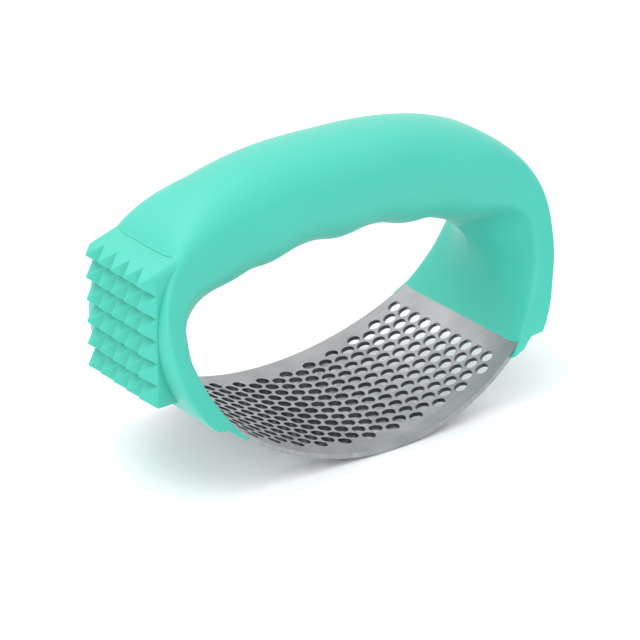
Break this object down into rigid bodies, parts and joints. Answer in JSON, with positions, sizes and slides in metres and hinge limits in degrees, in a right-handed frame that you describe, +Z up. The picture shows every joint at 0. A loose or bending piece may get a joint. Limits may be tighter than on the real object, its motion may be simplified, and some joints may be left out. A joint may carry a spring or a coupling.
{
  "type": "garlic press",
  "caption": "Rocking garlic press: a rolled perforated steel plate under an arched soft handle with finger ridges and a toothed peeling pad on one end.",
  "frame": {"origin": "middle of the bounding box in plan, at its lowest point, where the rolled plate rests on the table", "axes": "+X along the handle, away from the toothed pad; +Y across the handle; +Z up through the grip"},
  "size_m": [0.115, 0.0528, 0.0706],
  "materials": {
    "steel": "satin rolled stainless steel, fine brushing along the roll, bright punched edges",
    "soft_skin": "mint soft-touch elastomer, fine matte moulded texture",
    "hard_core": "natural moulded polypropylene",
    "soft_pad": "mint elastomer, moulded teeth"
  },
  "bodies": {
    "root": {"press_plate": "steel", "grip_skin": "soft_skin", "core_front": "hard_core", "core_rear": "hard_core", "peeler_pad": "soft_pad"}
  },
  "joints": []
}
